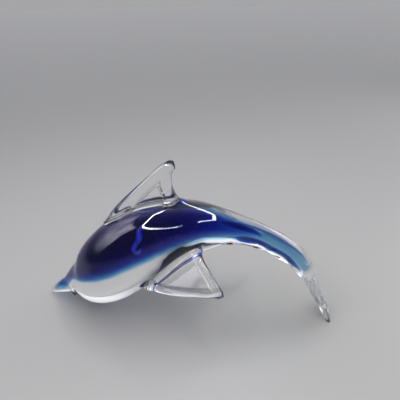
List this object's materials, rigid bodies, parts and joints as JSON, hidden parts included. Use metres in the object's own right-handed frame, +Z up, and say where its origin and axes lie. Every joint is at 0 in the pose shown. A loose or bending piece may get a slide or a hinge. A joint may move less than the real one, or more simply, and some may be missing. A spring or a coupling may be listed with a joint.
{
  "type": "glass dolphin figurine",
  "caption": "Free-standing solid glass dolphin in a leaping arch, with a blue core cased in clear crystal, clear fins and a clear tail.",
  "frame": {"origin": "on the surface that the figurine stands on, under the middle of its bounding box", "axes": "+X from the beak towards the tail, +Y towards the dolphin's right side, +Z up"},
  "size_m": [0.1998, 0.067, 0.1064],
  "materials": {
    "clear_crystal": "fire-polished clear crystal glass with faint tool marks",
    "aqua_glass": "transparent teal blue glass",
    "cobalt_glass": "transparent deep cobalt blue glass"
  },
  "bodies": {
    "root": {"crystal_casing": "clear_crystal", "beak": "clear_crystal", "dorsal_fin": "clear_crystal", "left_pectoral_fin": "clear_crystal", "right_pectoral_fin": "clear_crystal", "tail_flukes": "clear_crystal", "aqua_layer": "aqua_glass", "cobalt_core": "cobalt_glass"}
  },
  "joints": []
}
